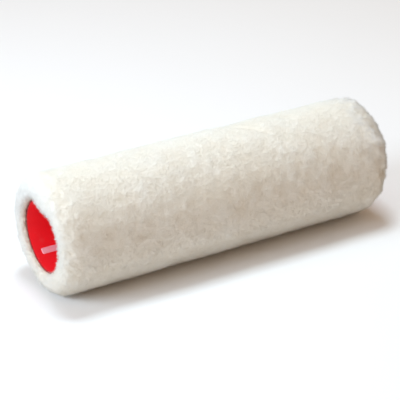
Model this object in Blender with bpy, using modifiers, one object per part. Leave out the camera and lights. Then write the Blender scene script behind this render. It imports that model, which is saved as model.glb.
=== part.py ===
"""Paint roller sleeve: a thick fleece glued around a thin plastic tube that slides over a roller cage.

The sleeve lies on a flat surface with its axis along X. Z is up. The origin is the centre of the
flattened patch of fleece that the sleeve rests on.
"""
import math

import bpy

# Driving dimensions, in metres
CORE_LENGTH = 0.2286
BORE_DIAMETER = 0.04445
CORE_WALL = 0.0016
CORE_INNER_CHAMFER = 0.0004
CORE_OUTER_CHAMFER = 0.0002

ADHESIVE_THICKNESS = 0.0003
BACKING_THICKNESS = 0.0010
FIT_GAP = 0.0003

SLEEVE_DIAMETER = 0.077
PILE_OVERHANG = 0.0042
PILE_END_ROUNDING = 0.0090
PILE_LIP_ROUNDING = 0.0020
REST_PATCH_DEPTH = 0.0010

PRINT_START = 0.0048
PRINT_LENGTH = 0.0500
PRINT_WIDTH = 0.0040
PRINT_THICKNESS = 0.0002
PRINT_ANGLE = math.radians(36.5)  # round the bore, from its lowest line towards +Y

# Smoothness of the turned shapes
ROUND_STEPS = 96
ROUNDING_STEPS = 5
LIP_STEPS = 3
PRINT_STEPS = 6
MERGE_DISTANCE = 0.00001

# The block that flattens the underside: its length against the core's, and its depth in patches
CUTTER_LENGTH_SHARE = 1.5
CUTTER_PATCH_DEPTHS = 10

# Radii from the bore outwards, each layer one gap clear of the one it is bonded to
BORE_RADIUS = BORE_DIAMETER / 2
CORE_RADIUS = BORE_RADIUS + CORE_WALL
ADHESIVE_INNER = CORE_RADIUS + FIT_GAP
ADHESIVE_OUTER = ADHESIVE_INNER + ADHESIVE_THICKNESS
BACKING_INNER = ADHESIVE_OUTER + FIT_GAP
BACKING_OUTER = BACKING_INNER + BACKING_THICKNESS
PILE_INNER = BACKING_OUTER + FIT_GAP
PILE_OUTER = SLEEVE_DIAMETER / 2

HALF_CORE = CORE_LENGTH / 2
HALF_PILE = HALF_CORE + PILE_OVERHANG
AXIS_HEIGHT = PILE_OUTER - REST_PATCH_DEPTH


def clear_scene():
    """Start from an empty scene."""
    for item in list(bpy.data.objects):
        bpy.data.objects.remove(item, do_unlink=True)


def new_collection(name):
    """A collection linked to the scene."""
    collection = bpy.data.collections.new(name)
    bpy.context.scene.collection.children.link(collection)
    return collection


def new_material(name, color, roughness, metallic=0.0):
    """A plain Principled BSDF material."""
    material = bpy.data.materials.new(name)
    material.use_nodes = True
    shader = material.node_tree.nodes["Principled BSDF"]
    shader.inputs["Base Color"].default_value = (*color, 1.0)
    shader.inputs["Roughness"].default_value = roughness
    shader.inputs["Metallic"].default_value = metallic
    return material


def arc(radius, height, size, first_deg, last_deg, steps):
    """Profile points on a quarter round about (radius, height), in (radius, height) pairs."""
    points = []
    for step in range(steps + 1):
        angle = math.radians(first_deg + (last_deg - first_deg) * step / steps)
        points.append((radius + size * math.cos(angle), height + size * math.sin(angle)))
    return points


def mirrored_below(points):
    """The same points below the middle of the sleeve, in the order that carries on downwards."""
    return [(radius, -height) for radius, height in reversed(points)]


def profile_mesh(name, points, closed=True):
    """An outline in the XZ plane, made of edges only."""
    vertices = [(radius, 0.0, height) for radius, height in points]
    count = len(vertices)
    edges = [(index, (index + 1) % count) for index in range(count if closed else count - 1)]
    mesh = bpy.data.meshes.new(name)
    mesh.from_pydata(vertices, edges, [])
    return mesh


def add_screw(item, angle, steps):
    """Turn the outline about the sleeve's axis."""
    screw = item.modifiers.new("Turn", "SCREW")
    screw.axis = "Z"
    screw.angle = angle
    screw.steps = steps
    screw.render_steps = steps
    screw.use_smooth_shade = True
    screw.use_merge_vertices = True
    screw.merge_threshold = MERGE_DISTANCE
    return screw


def place(item, collection, parent, material):
    """Put a part on the sleeve's axis, with its material."""
    collection.objects.link(item)
    item.parent = parent
    item.data.materials.append(material)
    return item


def turned_part(name, points, collection, parent, material):
    """A ring-shaped part turned from a closed outline."""
    item = place(bpy.data.objects.new(name, profile_mesh(name, points)), collection, parent, material)
    add_screw(item, math.tau, ROUND_STEPS)
    return item


def plain_ring(inner, outer, half_length):
    """The outline of a plain tube, down its outer side and up its inner side."""
    outer_side = [(outer, half_length), (outer, -half_length)]
    inner_side = [(inner, -half_length), (inner, half_length)]
    return outer_side + inner_side


def make_core_tube(collection, parent):
    """The plastic tube, with a chamfer on both edges of each end so that it slides over a cage."""
    outer_edge = [
        (CORE_RADIUS - CORE_OUTER_CHAMFER, HALF_CORE),
        (CORE_RADIUS, HALF_CORE - CORE_OUTER_CHAMFER),
    ]
    inner_edge = [
        (BORE_RADIUS, HALF_CORE - CORE_INNER_CHAMFER),
        (BORE_RADIUS + CORE_INNER_CHAMFER, HALF_CORE),
    ]
    outline = outer_edge + mirrored_below(outer_edge) + mirrored_below(inner_edge) + inner_edge
    material = new_material("core_plastic", (0.78, 0.012, 0.020), 0.32)
    return turned_part("core_tube", outline, collection, parent, material)


def make_adhesive_layer(collection, parent):
    """The glue film between the tube and the backing."""
    outline = plain_ring(ADHESIVE_INNER, ADHESIVE_OUTER, HALF_CORE)
    material = new_material("adhesive", (0.62, 0.45, 0.22), 0.45)
    return turned_part("adhesive_layer", outline, collection, parent, material)


def make_hide_backing(collection, parent):
    """The thin hide that the fleece grows from."""
    outline = plain_ring(BACKING_INNER, BACKING_OUTER, HALF_CORE)
    material = new_material("hide", (0.86, 0.74, 0.58), 0.75)
    return turned_part("hide_backing", outline, collection, parent, material)


def make_pile(collection, cutters, parent):
    """The fleece: rounded outside, a small round on its lip, and flattened where the sleeve lies."""
    rounding_centre = (PILE_OUTER - PILE_END_ROUNDING, HALF_PILE - PILE_END_ROUNDING)
    lip_centre = (PILE_INNER + PILE_LIP_ROUNDING, HALF_PILE - PILE_LIP_ROUNDING)
    outer_side = arc(*rounding_centre, PILE_END_ROUNDING, 90, 0, ROUNDING_STEPS)
    inner_side = arc(*lip_centre, PILE_LIP_ROUNDING, 180, 90, LIP_STEPS)
    outline = outer_side + mirrored_below(outer_side) + mirrored_below(inner_side) + inner_side
    material = new_material("fleece", (0.90, 0.87, 0.79), 0.95)
    item = turned_part("pile", outline, collection, parent, material)
    add_rest_cut(item, cutters)
    return item


def add_rest_cut(item, cutters):
    """Flatten the underside with a block whose top is the surface that the sleeve lies on."""
    block_length = CUTTER_LENGTH_SHARE * CORE_LENGTH
    block_depth = CUTTER_PATCH_DEPTHS * REST_PATCH_DEPTH
    bpy.ops.mesh.primitive_cube_add(size=1.0, location=(0.0, 0.0, -block_depth / 2))
    block = bpy.context.object
    block.name = "rest_surface_cutter"
    block.scale = (block_length, SLEEVE_DIAMETER, block_depth)
    for collection in list(block.users_collection):
        collection.objects.unlink(block)
    cutters.objects.link(block)
    block.hide_render = True
    block.display_type = "WIRE"
    cut = item.modifiers.new("Rest patch", "BOOLEAN")
    cut.operation = "DIFFERENCE"
    cut.solver = "EXACT"
    cut.object = block


def make_core_print(collection, parent):
    """A plain printed bar on the wall of the bore, along the sleeve, near the end at -X."""
    radius = BORE_RADIUS - FIT_GAP
    top = PRINT_START + PRINT_LENGTH - HALF_CORE
    bottom = PRINT_START - HALF_CORE
    mesh = profile_mesh("core_print", [(radius, top), (radius, bottom)], closed=False)
    material = new_material("print_ink", (0.90, 0.42, 0.42), 0.5)
    item = place(bpy.data.objects.new("core_print", mesh), collection, parent, material)
    sweep = PRINT_WIDTH / radius
    item.rotation_euler.z = PRINT_ANGLE - sweep / 2
    add_screw(item, sweep, PRINT_STEPS)
    film = item.modifiers.new("Film", "SOLIDIFY")
    film.thickness = PRINT_THICKNESS
    film.offset = -1.0
    film.use_rim = True
    return item


def make_axis(collection):
    """The sleeve's axis: local Z runs along world X, and local X points down."""
    axis = bpy.data.objects.new("sleeve_axis", None)
    collection.objects.link(axis)
    axis.location = (0.0, 0.0, AXIS_HEIGHT)
    axis.rotation_euler = (0.0, math.pi / 2, 0.0)
    return axis


def shade_round_parts(collection):
    """Keep the flat ends and the rest patch flat beside the smoothly shaded round walls."""
    for item in collection.objects:
        if item.type == "MESH":
            item.modifiers.new("Face shading", "WEIGHTED_NORMAL")


def main():
    """Build the sleeve from its bore outwards."""
    clear_scene()
    sleeve = new_collection("paint_roller_sleeve")
    cutters = new_collection("cutters")
    axis = make_axis(sleeve)
    make_core_tube(sleeve, axis)
    make_core_print(sleeve, axis)
    make_adhesive_layer(sleeve, axis)
    make_hide_backing(sleeve, axis)
    make_pile(sleeve, cutters, axis)
    shade_round_parts(sleeve)


main()
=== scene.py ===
"""Looks of a paint roller sleeve: shorn fleece on a hide backing, glued round a red plastic core.

Everything is in metres with Z up. The sleeve lies along X with its printed end at -X, and every size
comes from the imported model.
"""
import math

import bpy
import numpy as np
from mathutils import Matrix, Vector


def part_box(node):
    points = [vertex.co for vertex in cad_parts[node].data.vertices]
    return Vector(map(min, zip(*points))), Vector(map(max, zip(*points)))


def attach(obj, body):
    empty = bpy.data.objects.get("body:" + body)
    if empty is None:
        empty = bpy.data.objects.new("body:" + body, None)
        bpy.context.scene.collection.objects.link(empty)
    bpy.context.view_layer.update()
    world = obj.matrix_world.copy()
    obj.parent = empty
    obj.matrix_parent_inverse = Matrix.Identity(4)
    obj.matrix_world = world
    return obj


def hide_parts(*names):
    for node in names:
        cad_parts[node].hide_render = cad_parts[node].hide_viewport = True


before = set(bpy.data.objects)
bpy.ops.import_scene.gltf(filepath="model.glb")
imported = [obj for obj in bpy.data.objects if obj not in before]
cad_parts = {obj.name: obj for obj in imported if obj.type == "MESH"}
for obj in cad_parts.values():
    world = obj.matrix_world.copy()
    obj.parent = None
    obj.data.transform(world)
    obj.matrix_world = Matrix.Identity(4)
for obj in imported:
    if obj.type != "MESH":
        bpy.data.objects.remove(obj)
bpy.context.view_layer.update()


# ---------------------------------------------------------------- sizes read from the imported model

MM = 0.001
CORE_LOW, CORE_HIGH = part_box("core_tube")
PILE_LOW, PILE_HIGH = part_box("pile")
AXIS_HEIGHT = (CORE_LOW.z + CORE_HIGH.z) / 2
HALF_CORE = (CORE_HIGH.x - CORE_LOW.x) / 2
HALF_PILE = (PILE_HIGH.x - PILE_LOW.x) / 2
PILE_OUTER = (PILE_HIGH.y - PILE_LOW.y) / 2


def ring_radii(node):
    """Smallest and largest distance of a ring-shaped node's points from the sleeve's axis."""
    points = np.array([corner.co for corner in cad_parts[node].data.vertices])
    distance = from_axis(points)
    return float(distance.min()), float(distance.max())


def from_axis(points):
    """Each point's distance from the sleeve's axis."""
    return np.hypot(points[:, 1], points[:, 2] - AXIS_HEIGHT)


BORE_RADIUS, CORE_RADIUS = ring_radii("core_tube")
HIDE_INNER, HIDE_OUTER = ring_radii("hide_backing")


# ---------------------------------------------------------------- shares and repeatable noise

def lattice_value(cells, seed):
    """A repeatable number from 0 to 1 for each lattice cell."""
    cells = cells.astype(np.int64)
    mixed = cells[..., 0] * 73856093 ^ cells[..., 1] * 19349663 ^ cells[..., 2] * 83492791
    mixed = (mixed ^ (seed * 974711)) & 0xFFFFFFFF
    mixed = ((mixed ^ (mixed >> 15)) * 2246822519) & 0xFFFFFFFF
    mixed = ((mixed ^ (mixed >> 13)) * 3266489917) & 0xFFFFFFFF
    return ((mixed ^ (mixed >> 16)) & 0xFFFFFF) / 0xFFFFFF


def eased(share):
    """A share from 0 to 1 that starts and ends gently."""
    return share * share * (3 - 2 * share)


def soft_noise(points, size, seed):
    """Smooth lumps about size across, from -1 to 1."""
    place = points / size
    cell = np.floor(place)
    share = eased(place - cell)
    total = np.zeros(len(points))
    for corner in np.ndindex(2, 2, 2):
        step = np.array(corner)
        weight = np.prod(np.where(step == 1, share, 1 - share), axis=1)
        total += weight * lattice_value(cell + step, seed)
    return 2 * total - 1


def layered_noise(points, layers, seed):
    """Noise summed over layers of (size in mm, height), each with the seed after the last one's."""
    total = np.zeros(len(points))
    for step, (size, height) in enumerate(layers):
        total += height * soft_noise(points, size * MM, seed + step)
    return total


def nearest_lock(points, size, seed):
    """Each point's nearest lock of wool: its centre, its distance in lock sizes, and its own number."""
    place = points / size
    cell = np.floor(place)
    best = np.full(len(points), np.inf)
    centre = np.zeros_like(points)
    number = np.zeros(len(points))
    for offset in np.ndindex(3, 3, 3):
        near = cell + np.array(offset) - 1
        jitter = np.stack([lattice_value(near, seed + k) for k in range(3)], axis=1)
        candidate = near + jitter
        distance = np.linalg.norm(place - candidate, axis=1)
        closer = distance < best
        best[closer] = distance[closer]
        centre[closer] = candidate[closer] * size
        number[closer] = lattice_value(near[closer], seed + 3)
    return centre, best, number


def unit(vectors):
    """The same directions with length 1."""
    return vectors / np.linalg.norm(vectors, axis=-1, keepdims=True)


def ramp(values, low, high):
    """A share that rises from 0 at low to 1 at high."""
    return np.clip((values - low) / (high - low), 0, 1)


# ---------------------------------------------------------------- mesh helpers

def new_mesh(name, points, quads=(), triangles=()):
    """A smooth-shaded mesh object from arrays of points and faces."""
    quads = np.asarray(quads, np.int32).reshape(-1, 4)
    triangles = np.asarray(triangles, np.int32).reshape(-1, 3)
    mesh = bpy.data.meshes.new(name)
    mesh.vertices.add(len(points))
    mesh.vertices.foreach_set("co", np.asarray(points, np.float32).ravel())
    corners = np.concatenate([quads.ravel(), triangles.ravel()])
    mesh.loops.add(len(corners))
    mesh.loops.foreach_set("vertex_index", corners)
    mesh.polygons.add(len(quads) + len(triangles))
    quad_starts = 4 * np.arange(len(quads))
    triangle_starts = quads.size + 3 * np.arange(len(triangles))
    mesh.polygons.foreach_set("loop_start", np.concatenate([quad_starts, triangle_starts]).astype(np.int32))
    mesh.update(calc_edges=True)
    mesh.validate()
    mesh.shade_smooth()
    item = bpy.data.objects.new(name, mesh)
    bpy.context.scene.collection.objects.link(item)
    return item


def grid_quads(rows, columns, rows_close, columns_close):
    """Quads over a grid of points, joined end to end where asked."""
    row = np.arange(rows if rows_close else rows - 1)[:, None]
    column = np.arange(columns if columns_close else columns - 1)[None, :]
    next_row = (row + 1) % rows
    next_column = (column + 1) % columns
    corners = [row * columns + column, next_row * columns + column,
               next_row * columns + next_column, row * columns + next_column]
    return np.stack(np.broadcast_arrays(*corners), axis=-1).reshape(-1, 4)


def around_axis(along, radius, turn):
    """Points at a distance along the axis, a radius from it and a turn from +Y up over the top."""
    across = radius * np.cos(turn)
    height = AXIS_HEIGHT + radius * np.sin(turn)
    return np.stack(np.broadcast_arrays(along, across, height), axis=-1)


def finish_piece(item, material, slot, *replaced):
    """Give a piece its material and the node that it stands for, and let it ride on the sleeve."""
    item.data.materials.append(material)
    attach(item, "root")
    if replaced:
        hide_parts(*replaced)
    return item


# ---------------------------------------------------------------- the fleece's skin

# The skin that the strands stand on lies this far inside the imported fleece
STAND = 1.0 * MM
# The shoulder at each end is an oval, longer along the sleeve than it is deep
END_ROUNDING = 9.0 * MM
SHOULDER_LENGTH = 13.0 * MM
# The lip hangs over the core's end and stops just outside the bore
LIP_ROUNDING = HALF_PILE - HALF_CORE - 0.1 * MM
LIP_RADIUS = BORE_RADIUS + 0.4 * MM
LIP_REACH = (1.5 * MM, 8.0 * MM)
PROFILE_STEP = 0.30 * MM


def arc_points(centre_x, centre_r, reach_x, reach_r, first, last):
    """Profile points with their normals round part of an oval, in degrees from +X towards outwards."""
    count = max(3, int(abs(math.radians(last - first)) * max(reach_x, reach_r) / PROFILE_STEP))
    angle = np.radians(np.linspace(first, last, count))
    round_way = np.stack([np.cos(angle), np.sin(angle)], axis=1)
    reach = np.array([reach_x, reach_r])
    return np.array([centre_x, centre_r]) + round_way * reach, unit(round_way / reach)


def line_points(start, end, normal):
    """Profile points with one normal along a straight stretch."""
    length = math.dist(start, end)
    share = np.linspace(0, 1, max(2, int(length / PROFILE_STEP)))[:, None]
    points = np.array(start) * (1 - share) + np.array(end) * share
    return points, np.tile(np.array(normal, float), (len(points), 1))


def skin_profile():
    """The fleece's section, from the lip that hangs over the core's end to the middle, then mirrored."""
    lip_x = -HALF_PILE + LIP_ROUNDING
    lip_r = LIP_RADIUS + LIP_ROUNDING
    edge_x = -HALF_PILE + SHOULDER_LENGTH
    edge_r = PILE_OUTER - END_ROUNDING
    stretches = [
        arc_points(lip_x, lip_r, LIP_ROUNDING, LIP_ROUNDING, 275, 180),
        line_points((-HALF_PILE, lip_r), (-HALF_PILE, edge_r), (-1, 0)),
        arc_points(edge_x, edge_r, SHOULDER_LENGTH, END_ROUNDING, 180, 90),
        line_points((edge_x, PILE_OUTER), (0, PILE_OUTER), (0, 1)),
    ]
    points = np.concatenate([stretch[0] for stretch in stretches])
    normals = np.concatenate([stretch[1] for stretch in stretches])
    mirror = np.array([-1.0, 1.0])
    points = np.concatenate([points, points[-2::-1] * mirror])
    normals = np.concatenate([normals, normals[-2::-1] * mirror])
    length = np.concatenate([[0], np.cumsum(np.linalg.norm(np.diff(points, axis=0), axis=1))])
    return length, points - STAND * normals, normals


SKIN_LENGTH, SKIN_POINTS, SKIN_NORMALS = skin_profile()

# Turn in degrees from +Y, and how far the lip hangs into the printed end's opening, in mm
LIP_HANG = ((20, 0.0), (45, -0.4), (66, -1.3), (80, -0.7), (92, 1.4), (104, 2.1), (118, 0.5), (130, -1.5),
            (142, -2.5), (155, -2.6), (168, -2.7), (180, -1.4), (195, 0.0), (215, 0.0))
PLAIN_END_HANG = 0.35

# The ends are fluffed out, most towards this turn
FLUFF = 1.2 * MM
FLUFF_TURN = math.radians(62)
FLUFF_REACH = 9.0 * MM


def lip_share(radius):
    """How much a point of the end faces belongs to the lip: 1 near its edge, and 0 further out."""
    near, far = LIP_REACH
    return eased(ramp(radius, LIP_RADIUS + far, LIP_RADIUS + near))


def on_skin(length, turn):
    """Place and directions on the skin at a length along its section and a turn round the axis."""
    along = np.interp(length, SKIN_LENGTH, SKIN_POINTS[:, 0])
    radius = np.interp(length, SKIN_LENGTH, SKIN_POINTS[:, 1])
    normal_x = np.interp(length, SKIN_LENGTH, SKIN_NORMALS[:, 0])
    normal_r = np.interp(length, SKIN_LENGTH, SKIN_NORMALS[:, 1])
    turns, hang = np.array(LIP_HANG, float).T
    end_share = np.where(along < 0, 1.0, PLAIN_END_HANG)
    droop = end_share * np.interp(turn % math.tau, np.radians(turns), hang) * MM
    radius = radius - lip_share(radius) * droop
    fluffed = ramp(np.abs(along), HALF_PILE - FLUFF_REACH, HALF_PILE)
    along = along + np.sign(along) * fluffed * FLUFF * np.cos(turn - FLUFF_TURN)
    place = around_axis(along, radius, turn)
    cos, sin = np.cos(turn), np.sin(turn)
    normal = unit(np.stack(np.broadcast_arrays(normal_x, normal_r * cos, normal_r * sin), axis=-1))
    round_way = np.stack(np.broadcast_arrays(0 * normal_x, -sin, cos), axis=-1)
    return place, normal, round_way


# A short parting in the wool over the top: turn in degrees from +Y, and distance along the sleeve in mm
PARTING = ((52, 17), (62, 20.5), (74, 24.5), (84, 27.5), (91, 32), (99, 36.5), (106, 42))
PARTING_WIDTH = 1.6 * MM
PARTING_DEPTH = 0.9 * MM
# Its strength from end to end follows this stretch of a half wave, raised to this power
PARTING_FADE = (0.12, 0.98)
PARTING_POWER = 0.7


def parting_share(points):
    """How deep in the parting each point lies, from 0 outside it to 1 on its line."""
    turns, places = np.array(PARTING, float).T
    line = around_axis(places * MM, PILE_OUTER, np.radians(turns))
    nearest = np.full(len(points), np.inf)
    strength = np.zeros(len(points))
    for index in range(len(line) - 1):
        step = line[index + 1] - line[index]
        share = np.clip((points - line[index]) @ step / (step @ step), 0, 1)
        gap = np.linalg.norm(points - line[index] - share[:, None] * step, axis=1)
        closer = gap < nearest
        nearest[closer] = gap[closer]
        where = np.interp((index + share[closer]) / (len(line) - 1), (0, 1), PARTING_FADE)
        strength[closer] = np.sin(np.pi * where) ** PARTING_POWER
    nearest = np.maximum(nearest - STAND, 0)
    return strength * np.exp(-(nearest / PARTING_WIDTH) ** 2)


# The shorn surface's relief as (size, height) in mm, from broad waves down to single tufts
RELIEF = ((30, 0.28), (13, 0.36), (6, 0.34), (3.2, 0.18), (1.7, 0.14))
# The plain end is lumpier than the rest: (size in mm, share) of its lumps, their height, and where they fade
LUMPS = ((7.5, 1.0), (3.4, 0.6))
LUMPS_HEIGHT = 1.5 * MM
LUMPS_REACH = (6 * MM, 24 * MM)
# Both ends are tufted in the same way, with finer tufts
TUFTS = ((4.2, 1.0), (2.3, 0.8))
TUFTS_HEIGHT = 0.45 * MM
TUFTS_REACH = (6 * MM, 18 * MM)
# The lip's fringe: how far apart its teeth are and their height, and the same of the waves under them
FRINGE_SIZE = 2.6 * MM
FRINGE_TEETH = 0.8 * MM
FRINGE_WAVE_SIZE = 4 * MM
FRINGE_WAVES = 0.3 * MM


def near_end(along, reach):
    """A share from 1 close to an end of the fleece to 0 at the far side of its reach."""
    near, far = reach
    return ramp(along, HALF_PILE - far, HALF_PILE - near)


def relief(points):
    """How far the shorn surface stands above its mean, with its waves, lumps, tufts, fringe and parting."""
    along = points[:, 0]
    teeth = 0.5 - nearest_lock(points, FRINGE_SIZE, 25)[1]
    waves = soft_noise(points, FRINGE_WAVE_SIZE, 16)
    total = layered_noise(points, RELIEF, 11) * MM
    total += lip_share(from_axis(points)) * (FRINGE_TEETH * teeth + FRINGE_WAVES * waves)
    total += near_end(along, LUMPS_REACH) ** 2 * LUMPS_HEIGHT * layered_noise(points, LUMPS, 19)
    total += near_end(np.abs(along), TUFTS_REACH) * TUFTS_HEIGHT * layered_noise(points, TUFTS, 26)
    return total - PARTING_DEPTH * parting_share(points)


FLOOR_GAP = 0.15 * MM


def above_floor(points):
    """Wool that would reach below the surface is pressed flat on it."""
    points[..., 2] = np.maximum(points[..., 2], FLOOR_GAP)
    return points


BASE_STEP = 0.80 * MM
BASE_COLUMNS = 292
BASE_INNER_ROWS = 8
# The base stops this far clear of the hide, and reaches this far past the core's ends inside
BACKING_GAP = 0.05 * MM
PAST_CORE = 0.15 * MM


def fleece_base():
    """The dense underwool: one closed skin with its relief, and a plain tube against the hide inside."""
    rows = int(SKIN_LENGTH[-1] / BASE_STEP)
    length = np.linspace(0, SKIN_LENGTH[-1], rows)
    turn = np.arange(BASE_COLUMNS) * math.tau / BASE_COLUMNS
    length_grid, turn_grid = np.meshgrid(length, turn, indexing="ij")
    place, normal, _ = on_skin(length_grid.ravel(), turn_grid.ravel())
    place = place + normal * relief(place)[:, None]
    wall_x = HALF_CORE + PAST_CORE
    inner_x = np.linspace(wall_x, -wall_x, BASE_INNER_ROWS)
    inner = around_axis(inner_x[:, None], HIDE_OUTER + BACKING_GAP, turn[None, :]).reshape(-1, 3)
    points = above_floor(np.concatenate([place, inner]))
    quads = grid_quads(rows + len(inner_x), BASE_COLUMNS, True, True)
    return new_mesh("fleece_base", points, quads)


# ---------------------------------------------------------------- the fleece's strands

STRANDS = 234000
BANDS = 12
STRAND_LENGTH = 1.9 * MM
STRAND_ROOT = 0.6 * MM
STRAND_RADIUS = 0.075 * MM
# A strand's width varies between these shares, and its middle is this share of its root's width
WIDTH_SPREAD = (0.7, 1.25)
MIDDLE_WIDTH = 0.72
LOCK_SIZE = 1.7 * MM
# How much of a strand's shading is the fleece's own, and how far all strands are combed round the sleeve
SMOOTH_SHARE = 0.42
COMBED = 0.12
# How much strands lean apart: together in waves, and each on its own
LEAN_WAVES = 0.25
LEAN_LOOSE = 0.22
LEAN_SIZE = 7 * MM
# How much strands vary in height, together and each on its own, and how much a parting shortens them
HEIGHT_WAVES = 0.10
HEIGHT_SIZE = 1.5 * MM
HEIGHT_LOOSE = 0.13
PARTING_SHORTER = 0.3
# On the lip the locks stand taller, differ more, and are drawn together more than elsewhere
LIP_TALLER = 0.2
LIP_UNEVEN = 0.7
GATHER = 0.35
LIP_GATHER = 0.40
CRIMP = 0.06 * MM
# A strand's middle has these shares of its height, lean and gather, and its tip this share of its lean
MIDDLE_HEIGHT = 0.55
MIDDLE_LEAN = 0.25
MIDDLE_GATHER = 0.35
TIP_LEAN = 0.6


def strand_roots(rng):
    """Lengths along the skin and turns for roots spread evenly over its area, from one end to the other."""
    radius = SKIN_POINTS[:, 1]
    weight = np.concatenate([[0], np.cumsum(np.diff(SKIN_LENGTH) * (radius[1:] + radius[:-1]) / 2)])
    length = np.interp(np.sort(rng.random(STRANDS)) * weight[-1], weight, SKIN_LENGTH)
    return length, rng.random(STRANDS) * math.tau


def strand_lines(rng):
    """Root, middle and tip of every strand, drawn together into locks that lean a little each way."""
    length, turn = strand_roots(rng)
    skin, normal, round_way = on_skin(length, turn)
    along_way = np.cross(normal, round_way)
    root = skin + normal * (relief(skin) - STRAND_ROOT)[:, None]
    centre, _, number = nearest_lock(skin, LOCK_SIZE, 31)
    inward = centre - skin
    inward -= normal * np.sum(inward * normal, axis=1)[:, None]
    lean_round = COMBED + LEAN_WAVES * soft_noise(skin, LEAN_SIZE, 41) + rng.normal(0, LEAN_LOOSE, STRANDS)
    lean_along = LEAN_WAVES * soft_noise(skin, LEAN_SIZE, 42) + rng.normal(0, LEAN_LOOSE, STRANDS)
    sideways = round_way * lean_round[:, None] + along_way * lean_along[:, None]
    lip = lip_share(from_axis(skin))
    lift = HEIGHT_WAVES * soft_noise(skin, HEIGHT_SIZE, 43) + lip * (LIP_TALLER + LIP_UNEVEN * (number - 0.5))
    height = STRAND_LENGTH * (1 + lift + rng.normal(0, HEIGHT_LOOSE, STRANDS))
    height = (height * (1 - PARTING_SHORTER * parting_share(skin)))[:, None]
    crimp = rng.normal(0, CRIMP, (STRANDS, 3))
    gather = inward * (GATHER + LIP_GATHER * lip)[:, None]
    middle = root + normal * MIDDLE_HEIGHT * height + sideways * MIDDLE_LEAN * height
    middle += MIDDLE_GATHER * gather + crimp
    tip = root + normal * height + sideways * TIP_LEAN * height + gather
    return above_floor(root), above_floor(middle), above_floor(tip), normal, round_way, along_way


def strand_bodies(name, root, middle, tip, normal, round_way, along_way, rng):
    """Closed three-sided strands that taper to a point, as one piece, shaded partly as the whole fleece."""
    count = len(root)
    width = STRAND_RADIUS * rng.uniform(*WIDTH_SPREAD, count)[:, None]
    spin = rng.random(count)[:, None] * math.tau
    rings = []
    outward = []
    for centre, share in ((root, 1.0), (middle, MIDDLE_WIDTH)):
        for side in range(3):
            angle = spin + side * math.tau / 3
            away = np.cos(angle) * round_way + np.sin(angle) * along_way
            rings.append(centre + width * share * away)
            outward.append(away)
    points = np.stack(rings + [tip], axis=1)
    own = np.stack(outward + [normal], axis=1)
    shading = unit(own * (1 - SMOOTH_SHARE) + normal[:, None, :] * SMOOTH_SHARE)
    start = (7 * np.arange(count))[:, None, None]
    sides = np.array([[0, 1, 4, 3], [1, 2, 5, 4], [2, 0, 3, 5]])
    ends = np.array([[3, 4, 6], [4, 5, 6], [5, 3, 6], [2, 1, 0]])
    points = above_floor(points.reshape(-1, 3))
    item = new_mesh(name, points, (sides + start).reshape(-1, 4), (ends + start).reshape(-1, 3))
    item.data.normals_split_custom_set_from_vertices(shading.reshape(-1, 3))
    return item


def fleece_strands():
    """All the standing strands, in bands from the printed end to the plain end."""
    rng = np.random.default_rng(7)
    lines = strand_lines(rng)
    bands = []
    for band, rows in enumerate(np.array_split(np.arange(STRANDS), BANDS)):
        bands.append(strand_bodies(f"fleece_strands_{band + 1}", *(part[rows] for part in lines), rng))
    return bands


# ---------------------------------------------------------------- core, glue, hide and print

ROUND_STEPS = 3
WALL_ROWS = 12
# An end that is set back or wavers is drawn in over this length
END_REACH = HALF_CORE / 60
# How the ends of the glue and the hide waver, as (size, height) in mm
GLUE_WAVER = ((2.5, 0.35),)
HIDE_WAVER = ((9, 0.30), (1.5, 0.10))


def quarter_round(centre_x, centre_r, rounding, first):
    """Points on a quarter round, from an angle in degrees onwards."""
    points = []
    for angle in np.radians(np.linspace(first, first + 90, ROUND_STEPS + 1)):
        points.append((centre_x + rounding * math.cos(angle), centre_r + rounding * math.sin(angle)))
    return points


def wall_outline(inner, outer, rounding):
    """A tube wall's section with rounded edges, out along its inner side and back along its outer side."""
    end = HALF_CORE - rounding
    rows = np.linspace(-HALF_CORE, HALF_CORE, WALL_ROWS + 2)[1:-1]
    outline = quarter_round(-end, inner + rounding, rounding, 180)
    outline += [(row, inner) for row in rows]
    outline += quarter_round(end, inner + rounding, rounding, 270)
    outline += quarter_round(end, outer - rounding, rounding, 0)
    outline += [(row, outer) for row in rows[::-1]]
    outline += quarter_round(-end, outer - rounding, rounding, 90)
    return np.array(outline)


def ring_piece(name, inner, outer, rounding, segments, set_back=0.0, waver=(), seed=0):
    """A closed ring as long as the core, whose ends may be set back and waver by distances in mm."""
    turn = np.arange(segments) * math.tau / segments
    outline = wall_outline(inner, outer, rounding)
    points = around_axis(outline[:, :1], outline[:, 1:], turn[None, :]).reshape(-1, 3)
    along = points[:, 0].copy()
    drawn_in = ramp(np.abs(along), HALF_CORE - END_REACH, HALF_CORE)
    distance = (set_back + layered_noise(points, waver, seed)) * MM
    points[:, 0] -= np.sign(along) * drawn_in * distance
    return new_mesh(name, points, grid_quads(len(outline), segments, True, True))


def core_wall():
    """The moulded tube, with softly broken edges where it was sawn to length."""
    return ring_piece("core_wall", BORE_RADIUS, CORE_RADIUS, 0.15 * MM, 192)


def glue_film():
    """The glue, filling between core and hide, with a slightly uneven line at each end."""
    return ring_piece("glue_film", CORE_RADIUS, HIDE_INNER, 0.2 * MM, 192, 0.55, GLUE_WAVER, 51)


def hide_band():
    """The hide under the wool, with a cut edge that wanders a little."""
    return ring_piece("hide_band", HIDE_INNER, HIDE_OUTER, 0.3 * MM, 240, 0.40, HIDE_WAVER, 61)


BAR_ROUNDING = 0.5 * MM
BAR_COLUMNS = 9
BAR_ROWS = 60
# The ink's two faces stand this far inside the wall of the bore
INK_FACES = (0.01 * MM, 0.06 * MM)


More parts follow.
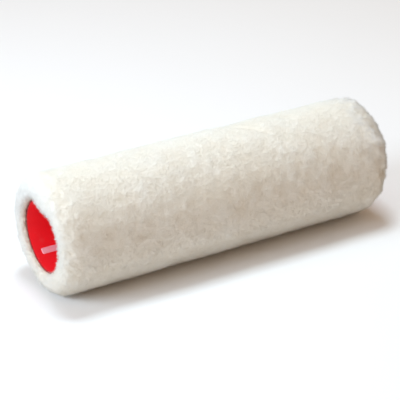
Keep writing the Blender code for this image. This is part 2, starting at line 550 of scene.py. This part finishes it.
def printed_bar():
    """A thin film of ink on the wall of the bore, with rounded corners and no letters."""
    low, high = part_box("core_print")
    middle = (low + high) / 2
    turn_middle = math.atan2(middle.z - AXIS_HEIGHT, middle.y)
    half_width = math.dist((low.y, low.z), (high.y, high.z)) / 2
    layers = []
    for depth in INK_FACES:
        radius = BORE_RADIUS - depth
        for row in np.linspace(low.x, high.x, BAR_ROWS):
            from_end = min(row - low.x, high.x - row)
            drop = max(0.0, 1 - from_end / BAR_ROUNDING)
            reach = half_width - BAR_ROUNDING * (1 - math.sqrt(max(0.0, 1 - drop * drop)))
            turn = turn_middle + np.linspace(-1, 1, BAR_COLUMNS) * reach / radius
            layers.append(around_axis(row, radius, turn))
    points = np.concatenate(layers)
    grid = np.arange(BAR_ROWS * BAR_COLUMNS).reshape(BAR_ROWS, BAR_COLUMNS)
    under = grid_quads(BAR_ROWS, BAR_COLUMNS, False, False)
    over = under[:, ::-1] + grid.size
    border = [*grid[0], *grid[1:, -1], *grid[-1, -2::-1], *grid[-2:0:-1, 0]]
    rim = []
    for index, corner_point in enumerate(border):
        following = border[(index + 1) % len(border)]
        rim.append((corner_point, following, following + grid.size, corner_point + grid.size))
    return new_mesh("printed_bar", points, np.concatenate([under, over, np.array(rim)]))


# ---------------------------------------------------------------- shader groups

def new_group(name, inputs, outputs):
    """An empty shader group with named sockets, given as (name, kind, default)."""
    group = bpy.data.node_groups.new(name, "ShaderNodeTree")
    for socket_name, kind, default in inputs:
        socket = group.interface.new_socket(name=socket_name, in_out="INPUT", socket_type=kind)
        socket.default_value = default
    for socket_name, kind in outputs:
        group.interface.new_socket(name=socket_name, in_out="OUTPUT", socket_type=kind)
    return group, group.nodes.new("NodeGroupInput"), group.nodes.new("NodeGroupOutput")


def noise_node(tree, vector, scale, detail, roughness=0.55, stretch=None):
    """A noise texture in metres, stretched along X where asked."""
    links = tree.links
    if stretch is not None:
        squeeze = tree.nodes.new("ShaderNodeVectorMath")
        squeeze.operation = "MULTIPLY"
        squeeze.inputs[1].default_value = stretch
        links.new(vector, squeeze.inputs[0])
        vector = squeeze.outputs[0]
    noise = tree.nodes.new("ShaderNodeTexNoise")
    noise.inputs["Detail"].default_value = detail
    noise.inputs["Roughness"].default_value = roughness
    links.new(vector, noise.inputs["Vector"])
    if isinstance(scale, (int, float)):
        noise.inputs["Scale"].default_value = scale
    else:
        links.new(scale, noise.inputs["Scale"])
    return noise.outputs["Fac"]


def between(tree, value, low, high, to_low=0.0, to_high=1.0):
    """Map a value from one range to another, clamped."""
    node = tree.nodes.new("ShaderNodeMapRange")
    for socket, amount in zip(("From Min", "From Max", "To Min", "To Max"), (low, high, to_low, to_high)):
        if isinstance(amount, (int, float)):
            node.inputs[socket].default_value = amount
        else:
            tree.links.new(amount, node.inputs[socket])
    tree.links.new(value, node.inputs["Value"])
    return node.outputs["Result"]


def maths(tree, operation, first, second=None):
    """One Math node on two values or sockets."""
    node = tree.nodes.new("ShaderNodeMath")
    node.operation = operation
    for index, value in enumerate((first, second)):
        if value is None:
            continue
        if isinstance(value, (int, float)):
            node.inputs[index].default_value = value
        else:
            tree.links.new(value, node.inputs[index])
    return node.outputs[0]


def hypotenuse(tree, first, second):
    """The length of the third side over two sides at a right angle."""
    first_squared = maths(tree, "MULTIPLY", first, first)
    second_squared = maths(tree, "MULTIPLY", second, second)
    return maths(tree, "SQRT", maths(tree, "ADD", first_squared, second_squared))


def axes_of(tree, place):
    """The X, Y and Z of a place."""
    split = tree.nodes.new("ShaderNodeSeparateXYZ")
    tree.links.new(place, split.inputs[0])
    return split.outputs


def mixed_colour(tree, share, first, second):
    """A colour between two, by a share from 0 to 1."""
    node = tree.nodes.new("ShaderNodeMix")
    node.data_type = "RGBA"
    tree.links.new(share, node.inputs["Factor"])
    for socket, value in ((node.inputs[6], first), (node.inputs[7], second)):
        if isinstance(value, tuple):
            socket.default_value = value
        else:
            tree.links.new(value, socket)
    return node.outputs[2]


def mottle_group():
    """Soft patches of a second colour, with a finer break-up inside them."""
    group, source, result = new_group(
        "soft_mottle",
        [("Vector", "NodeSocketVector", (0, 0, 0)), ("Colour", "NodeSocketColor", (1, 1, 1, 1)),
         ("Patch colour", "NodeSocketColor", (0.8, 0.8, 0.8, 1)), ("Patch scale", "NodeSocketFloat", 80.0),
         ("Amount", "NodeSocketFloat", 0.5)],
        [("Colour", "NodeSocketColor"), ("Mask", "NodeSocketFloat")])
    vector = source.outputs["Vector"]
    broad = noise_node(group, vector, source.outputs["Patch scale"], 2.0)
    fine = noise_node(group, vector, maths(group, "MULTIPLY", source.outputs["Patch scale"], 6.0), 3.0)
    blend = maths(group, "ADD", maths(group, "MULTIPLY", broad, 0.7), maths(group, "MULTIPLY", fine, 0.3))
    mask = maths(group, "MULTIPLY", between(group, blend, 0.36, 0.64), source.outputs["Amount"])
    colour = mixed_colour(group, mask, source.outputs["Colour"], source.outputs["Patch colour"])
    group.links.new(colour, result.inputs["Colour"])
    group.links.new(mask, result.inputs["Mask"])
    return group


def depth_group():
    """How deep in the fleece a point lies, below its rounded outside: 0 at the surface, 1 at Depth."""
    group, source, result = new_group(
        "depth_in_fleece",
        [("Vector", "NodeSocketVector", (0, 0, 0)), ("Axis height", "NodeSocketFloat", 0.0375),
         ("Half length", "NodeSocketFloat", 0.118), ("Radius", "NodeSocketFloat", 0.038),
         ("Rounding", "NodeSocketFloat", 0.009), ("Depth", "NodeSocketFloat", 0.003)],
        [("Depth", "NodeSocketFloat")])
    axes = axes_of(group, source.outputs["Vector"])
    rise = maths(group, "SUBTRACT", axes["Z"], source.outputs["Axis height"])
    rounding = source.outputs["Rounding"]
    radius = hypotenuse(group, rise, axes["Y"])
    end_start = maths(group, "SUBTRACT", source.outputs["Half length"], rounding)
    side_start = maths(group, "SUBTRACT", source.outputs["Radius"], rounding)
    past_end = maths(group, "SUBTRACT", maths(group, "ABSOLUTE", axes["X"]), end_start)
    past_side = maths(group, "SUBTRACT", radius, side_start)
    beyond_end = maths(group, "MAXIMUM", past_end, 0.0)
    beyond_side = maths(group, "MAXIMUM", past_side, 0.0)
    corner = hypotenuse(group, beyond_end, beyond_side)
    inside = maths(group, "MINIMUM", maths(group, "MAXIMUM", past_end, past_side), 0.0)
    below = maths(group, "SUBTRACT", rounding, maths(group, "ADD", corner, inside))
    depth = maths(group, "DIVIDE", below, source.outputs["Depth"])
    group.links.new(between(group, depth, 0.0, 1.0), result.inputs["Depth"])
    return group


def grain_group():
    """A fine random grain for bump heights, with a coarser one mixed in."""
    group, source, result = new_group(
        "fine_grain",
        [("Vector", "NodeSocketVector", (0, 0, 0)), ("Scale", "NodeSocketFloat", 1500.0),
         ("Coarse share", "NodeSocketFloat", 0.4)],
        [("Height", "NodeSocketFloat")])
    vector = source.outputs["Vector"]
    fine = noise_node(group, vector, source.outputs["Scale"], 3.0, 0.65)
    coarse = noise_node(group, vector, maths(group, "MULTIPLY", source.outputs["Scale"], 0.25), 2.0)
    share = source.outputs["Coarse share"]
    rest = maths(group, "SUBTRACT", 1.0, share)
    coarse_part = maths(group, "MULTIPLY", coarse, share)
    fine_part = maths(group, "MULTIPLY", fine, rest)
    group.links.new(maths(group, "ADD", coarse_part, fine_part), result.inputs["Height"])
    return group


def streak_group():
    """Faint lines along X, as a drawn plastic tube has, with scuffs across them."""
    group, source, result = new_group(
        "drawn_streaks",
        [("Vector", "NodeSocketVector", (0, 0, 0)), ("Line scale", "NodeSocketFloat", 900.0)],
        [("Lines", "NodeSocketFloat"), ("Scuffs", "NodeSocketFloat")])
    vector = source.outputs["Vector"]
    lines = noise_node(group, vector, source.outputs["Line scale"], 2.0, 0.5, (0.02, 1, 1))
    scuffs = noise_node(group, vector, maths(group, "MULTIPLY", source.outputs["Line scale"], 0.12), 4.0)
    group.links.new(lines, result.inputs["Lines"])
    group.links.new(between(group, scuffs, 0.55, 0.72), result.inputs["Scuffs"])
    return group


GROUPS = {"mottle": mottle_group(), "depth": depth_group(), "grain": grain_group(), "streaks": streak_group()}


# ---------------------------------------------------------------- materials

def start_material(name):
    """A material with its Principled shader and the sleeve's own coordinates."""
    material = bpy.data.materials.new(name)
    material.use_nodes = True
    tree = material.node_tree
    shader = tree.nodes["Principled BSDF"]
    place = tree.nodes.new("ShaderNodeTexCoord").outputs["Object"]
    return material, tree, shader, place


def use_group(tree, key, place, **values):
    """Put a shader group in a material, with numbers, colours or sockets for its inputs."""
    node = tree.nodes.new("ShaderNodeGroup")
    node.node_tree = GROUPS[key]
    tree.links.new(place, node.inputs["Vector"])
    for name, value in values.items():
        socket = node.inputs[name.replace("_", " ")]
        if isinstance(value, bpy.types.NodeSocket):
            tree.links.new(value, socket)
        else:
            socket.default_value = value
    return node.outputs


def mottled(tree, place, colour, patch_colour, patch_scale, amount):
    """The mottle group with its two colours, its patch scale and how strongly the patches show."""
    return use_group(tree, "mottle", place, Colour=colour, Patch_colour=patch_colour,
                     Patch_scale=patch_scale, Amount=amount)


def add_bump(tree, shader, height, strength, distance):
    """Feed a height to the shader's normal."""
    bump = tree.nodes.new("ShaderNodeBump")
    bump.inputs["Strength"].default_value = strength
    bump.inputs["Distance"].default_value = distance
    tree.links.new(height, bump.inputs["Height"])
    tree.links.new(bump.outputs["Normal"], shader.inputs["Normal"])


# Wool colours: shorn tips and their warmer patches, roots with painted shade deeper in the fleece, darker
# strands, tan areas, painted grey shade, painted duller shade on the end faces
WOOL = (0.950, 0.925, 0.855, 1)
WOOL_WARM = (0.925, 0.858, 0.735, 1)
WOOL_ROOT_SHADE = (0.880, 0.805, 0.675, 1)
WOOL_SHADED = (0.825, 0.785, 0.705, 1)
WOOL_TAN = (0.850, 0.735, 0.610, 1)
WOOL_GREY_SHADE = (0.660, 0.660, 0.680, 1)
WOOL_END_SHADE = (0.830, 0.820, 0.790, 1)
WOOL_END_SHADE_DULL = (0.710, 0.695, 0.655, 1)

# The plain end's upper side gets painted grey shade from here outwards and upwards, as (from, to)
GREY_SHADE_ALONG = (HALF_PILE - 26 * MM, HALF_PILE - 4 * MM)
GREY_SHADE_RISE = (AXIS_HEIGHT, AXIS_HEIGHT + 30 * MM)
# Where the end faces' painted duller, greyer shade takes over
END_SHADE_REACH = (HALF_PILE - 10 * MM, HALF_PILE - 1.5 * MM)
# How deep below the surface the roots' colour, with its painted shade, is full
ROOT_SHADE_DEPTH = 3.6 * MM


def wool_colour(tree, place):
    """Creamy wool, warmer in patches, grained, warmer and darker at its roots and as painted shade deeper in
    the fleece, with painted grey shade on the plain end's upper side and painted duller shade on the end
    faces.
    """
    axes = axes_of(tree, place)
    warmed = mottled(tree, place, WOOL, WOOL_WARM, 70.0, 0.6)
    tanned = mottled(tree, place, warmed["Colour"], WOOL_TAN, 24.0, 0.16)
    # Painted shade: the plain end's upper side is greyed in patches
    patches = use_group(tree, "mottle", place, Patch_scale=190.0, Amount=1.0)
    plain_end = between(tree, axes["X"], *GREY_SHADE_ALONG)
    upper_side = between(tree, axes["Z"], *GREY_SHADE_RISE)
    grey_shade_place = maths(tree, "MULTIPLY", plain_end, upper_side)
    grey_shade_share = maths(tree, "MULTIPLY", grey_shade_place, patches["Mask"])
    grey_shaded = mixed_colour(tree, grey_shade_share, tanned["Colour"], WOOL_GREY_SHADE)
    # Painted shade: the end faces are painted duller and greyer than the sides
    end_shade_share = between(tree, maths(tree, "ABSOLUTE", axes["X"]), *END_SHADE_REACH)
    end_shade_tone = mottled(tree, place, WOOL_END_SHADE, WOOL_END_SHADE_DULL, 320.0, 0.7)
    end_shaded = mixed_colour(tree, end_shade_share, grey_shaded, end_shade_tone["Colour"])
    grain = use_group(tree, "grain", place, Scale=1300.0, Coarse_share=0.30)
    speck = between(tree, grain["Height"], 0.38, 0.62, 0.0, 0.5)
    grained = mixed_colour(tree, speck, end_shaded, WOOL_SHADED)
    # Painted shade, partly the roots' own colour: the wool turns darker and warmer deeper below its rounded
    # outside
    depth = use_group(tree, "depth", place, Axis_height=AXIS_HEIGHT, Half_length=HALF_PILE,
                      Radius=PILE_OUTER, Rounding=END_ROUNDING, Depth=ROOT_SHADE_DEPTH)
    return mixed_colour(tree, depth["Depth"], grained, WOOL_ROOT_SHADE)


def strand_material():
    """Single strands of shorn wool."""
    material, tree, shader, place = start_material("wool_strands")
    tree.links.new(wool_colour(tree, place), shader.inputs["Base Color"])
    shader.inputs["Roughness"].default_value = 0.85
    shader.inputs["Specular IOR Level"].default_value = 0.25
    shader.inputs["Sheen Weight"].default_value = 0.08
    shader.inputs["Sheen Roughness"].default_value = 0.5
    return material


def underwool_material():
    """The dense wool between the strands."""
    material, tree, shader, place = start_material("underwool")
    tree.links.new(wool_colour(tree, place), shader.inputs["Base Color"])
    grain = use_group(tree, "grain", place, Scale=2200.0, Coarse_share=0.45)
    tree.links.new(between(tree, grain["Height"], 0.3, 0.7, 0.82, 0.96), shader.inputs["Roughness"])
    shader.inputs["Specular IOR Level"].default_value = 0.2
    shader.inputs["Sheen Weight"].default_value = 0.08
    shader.inputs["Sheen Roughness"].default_value = 0.6
    add_bump(tree, shader, grain["Height"], 1.0, 0.6 * MM)
    return material


RED = (0.97, 0.014, 0.026, 1)
RED_DULL = (0.88, 0.010, 0.018, 1)
RED_SCUFF = (0.86, 0.10, 0.10, 1)
# Painted shade: the core's end faces and their rounded edges are painted dark red
RED_CORE_END_SHADE = (0.34, 0.004, 0.008, 1)
SCUFFING = 0.25
CORE_END_SHADE_FACE = (HALF_CORE - 0.25 * MM, HALF_CORE - 0.05 * MM)


def plastic_material():
    """Red drawn plastic: glossy enough for a soft highlight, with faint lines along it, light scuffs and
    painted shade on its end faces.
    """
    material, tree, shader, place = start_material("red_core_plastic")
    tone = mottled(tree, place, RED, RED_DULL, 45.0, 0.5)
    streaks = use_group(tree, "streaks", place, Line_scale=900.0)
    scuffs = maths(tree, "MULTIPLY", streaks["Scuffs"], SCUFFING)
    scuffed = mixed_colour(tree, scuffs, tone["Colour"], RED_SCUFF)
    # Painted shade on the core's end faces
    core_end_share = between(tree, maths(tree, "ABSOLUTE", axes_of(tree, place)["X"]), *CORE_END_SHADE_FACE)
    tree.links.new(mixed_colour(tree, core_end_share, scuffed, RED_CORE_END_SHADE), shader.inputs["Base Color"])
    tree.links.new(between(tree, streaks["Lines"], 0.3, 0.7, 0.40, 0.52), shader.inputs["Roughness"])
    add_bump(tree, shader, streaks["Lines"], 0.15, 0.04 * MM)
    return material


INK = (0.99, 0.60, 0.68, 1)
INK_THIN = (0.97, 0.30, 0.38, 1)


def ink_material():
    """Pale ink, rubbed thin in places so that the red shows through."""
    material, tree, shader, place = start_material("pale_print_ink")
    rubbed = mottled(tree, place, INK, INK_THIN, 420.0, 0.55)
    tree.links.new(rubbed["Colour"], shader.inputs["Base Color"])
    tree.links.new(between(tree, rubbed["Mask"], 0.0, 0.5, 0.6, 0.4), shader.inputs["Roughness"])
    return material


HIDE = (0.90, 0.84, 0.74, 1)
HIDE_DARK = (0.82, 0.72, 0.58, 1)


def hide_material():
    """The pale cut edge of the hide: fibrous, matt and a little darker in places."""
    material, tree, shader, place = start_material("cream_hide")
    tone = mottled(tree, place, HIDE, HIDE_DARK, 260.0, 0.7)
    tree.links.new(tone["Colour"], shader.inputs["Base Color"])
    grain = use_group(tree, "grain", place, Scale=1600.0, Coarse_share=0.5)
    tree.links.new(between(tree, grain["Height"], 0.3, 0.7, 0.65, 0.9), shader.inputs["Roughness"])
    add_bump(tree, shader, grain["Height"], 0.8, 0.2 * MM)
    return material


GLUE = (0.78, 0.66, 0.48, 1)
GLUE_DARK = (0.64, 0.50, 0.32, 1)


def glue_material():
    """Set glue, pale amber."""
    material, tree, shader, place = start_material("amber_glue")
    tone = mottled(tree, place, GLUE, GLUE_DARK, 300.0, 0.8)
    tree.links.new(tone["Colour"], shader.inputs["Base Color"])
    tree.links.new(between(tree, tone["Mask"], 0.0, 0.8, 0.3, 0.5), shader.inputs["Roughness"])
    return material


# ---------------------------------------------------------------- studio

VIEW_AZIMUTH = math.radians(-30.8)
VIEW_ELEVATION = math.radians(27.1)
VIEW_DISTANCE = 1.016
LENS = 144.4
AIM_LEFT = 3.9 * MM
AIM_BELOW = 4.7 * MM


def view_back(azimuth, elevation):
    """The direction from the sleeve towards a viewer, as the closing views turn it."""
    level = math.cos(elevation)
    return Vector((math.sin(azimuth) * level, -math.cos(azimuth) * level, math.sin(elevation)))


def add_camera():
    """A long lens, a little above the sleeve and towards its printed end."""
    back = view_back(VIEW_AZIMUTH, VIEW_ELEVATION)
    turn = back.to_track_quat("Z", "Y")
    right = turn @ Vector((1, 0, 0))
    up = turn @ Vector((0, 1, 0))
    aim = Vector((0, 0, AXIS_HEIGHT)) - right * AIM_LEFT - up * AIM_BELOW
    data = bpy.data.cameras.new("studio_camera")
    data.lens = LENS
    data.clip_start = 0.05
    data.clip_end = 20.0
    camera = bpy.data.objects.new("studio_camera", data)
    camera.location = aim + back * VIEW_DISTANCE
    camera.rotation_mode = "QUATERNION"
    camera.rotation_quaternion = turn
    bpy.context.scene.collection.objects.link(camera)
    bpy.context.scene.camera = camera


# Soft panels: name, direction from the sleeve, distance in metres, size in metres, power in watts, colour
PANELS = (
    ("overhead_panel", (0.0, 0.1, 1.0), 1.2, 0.35, 9.8, (0.735, 0.896, 1.0)),
    ("back_panel", (-0.25, 0.38, 0.89), 1.0, 0.30, 0.6, (0.68, 0.76, 1.0)),
    ("left_panel", (-0.87, -0.05, 0.45), 1.05, 0.50, 9.1, (0.66, 0.80, 0.94)),
)
SURROUND = (1.0, 0.717, 0.512, 1)
SURROUND_STRENGTH = 0.43
BACKDROP = (0.88, 0.88, 0.87, 1)


def add_panel(name, direction, distance, size, power, colour):
    """A soft square panel light that faces the middle of the sleeve."""
    toward_light = Vector(direction).normalized()
    data = bpy.data.lights.new(name, "AREA")
    data.shape = "SQUARE"
    data.size = size
    data.energy = power
    data.color = colour
    light = bpy.data.objects.new(name, data)
    light.location = Vector((0, 0, AXIS_HEIGHT)) + toward_light * distance
    light.rotation_mode = "QUATERNION"
    light.rotation_quaternion = toward_light.to_track_quat("Z", "Y")
    bpy.context.scene.collection.objects.link(light)


def add_lights():
    """Cool panels above and to the left, an even warm surround, and a pale backdrop for the camera."""
    for panel in PANELS:
        add_panel(*panel)
    world = bpy.data.worlds.new("studio_surround")
    world.use_nodes = True
    tree = world.node_tree
    surround = tree.nodes["Background"]
    surround.inputs["Color"].default_value = SURROUND
    surround.inputs["Strength"].default_value = SURROUND_STRENGTH
    backdrop = tree.nodes.new("ShaderNodeBackground")
    backdrop.inputs["Color"].default_value = BACKDROP
    choice = tree.nodes.new("ShaderNodeMixShader")
    seen = tree.nodes.new("ShaderNodeLightPath").outputs["Is Camera Ray"]
    tree.links.new(seen, choice.inputs[0])
    tree.links.new(surround.outputs[0], choice.inputs[1])
    tree.links.new(backdrop.outputs[0], choice.inputs[2])
    tree.links.new(choice.outputs[0], tree.nodes["World Output"].inputs["Surface"])
    bpy.context.scene.world = world
    bpy.context.scene.view_settings.view_transform = "Standard"


FLOOR_SIZE = 6.0
FLOOR = (0.90, 0.90, 0.895, 1)
FLOOR_DULL = (0.885, 0.885, 0.88, 1)
# The floor glows from here outwards, in metres from the sleeve, up to this strength
GLOW_REACH = (0.5, 1.3)
GLOW_STRENGTH = 0.55
GLOW = (0.85, 0.93, 1.0, 1)


def add_floor():
    """A plain pale table top that glows softly far away from the sleeve, so that it stays pale there."""
    bpy.ops.mesh.primitive_plane_add(size=FLOOR_SIZE, location=(0, 0, 0))
    floor = bpy.context.object
    floor.name = "floor"
    material, tree, shader, place = start_material("plain_pale_floor")
    tone = mottled(tree, place, FLOOR, FLOOR_DULL, 3.0, 0.5)
    tree.links.new(tone["Colour"], shader.inputs["Base Color"])
    shader.inputs["Roughness"].default_value = 0.9
    shader.inputs["Specular IOR Level"].default_value = 0.1
    axes = axes_of(tree, place)
    distance = hypotenuse(tree, axes["X"], axes["Y"])
    glow = between(tree, distance, *GLOW_REACH, 0.0, GLOW_STRENGTH)
    tree.links.new(glow, shader.inputs["Emission Strength"])
    shader.inputs["Emission Color"].default_value = GLOW
    material.cycles.emission_sampling = "NONE"
    floor.data.materials.append(material)


# ---------------------------------------------------------------- the whole scene

def build():
    """Studio first, then the sleeve from its bore outwards."""
    add_camera()
    add_lights()
    add_floor()
    finish_piece(core_wall(), plastic_material(), "core_plastic", "core_tube")
    finish_piece(printed_bar(), ink_material(), "print_ink", "core_print")
    finish_piece(glue_film(), glue_material(), "adhesive", "adhesive_layer")
    hide = finish_piece(hide_band(), hide_material(), "hide", "hide_backing")
    finish_piece(fleece_base(), underwool_material(), "fleece", "pile")
    wool = strand_material()
    for band in fleece_strands():
        finish_piece(band, wool, "fleece")


build()
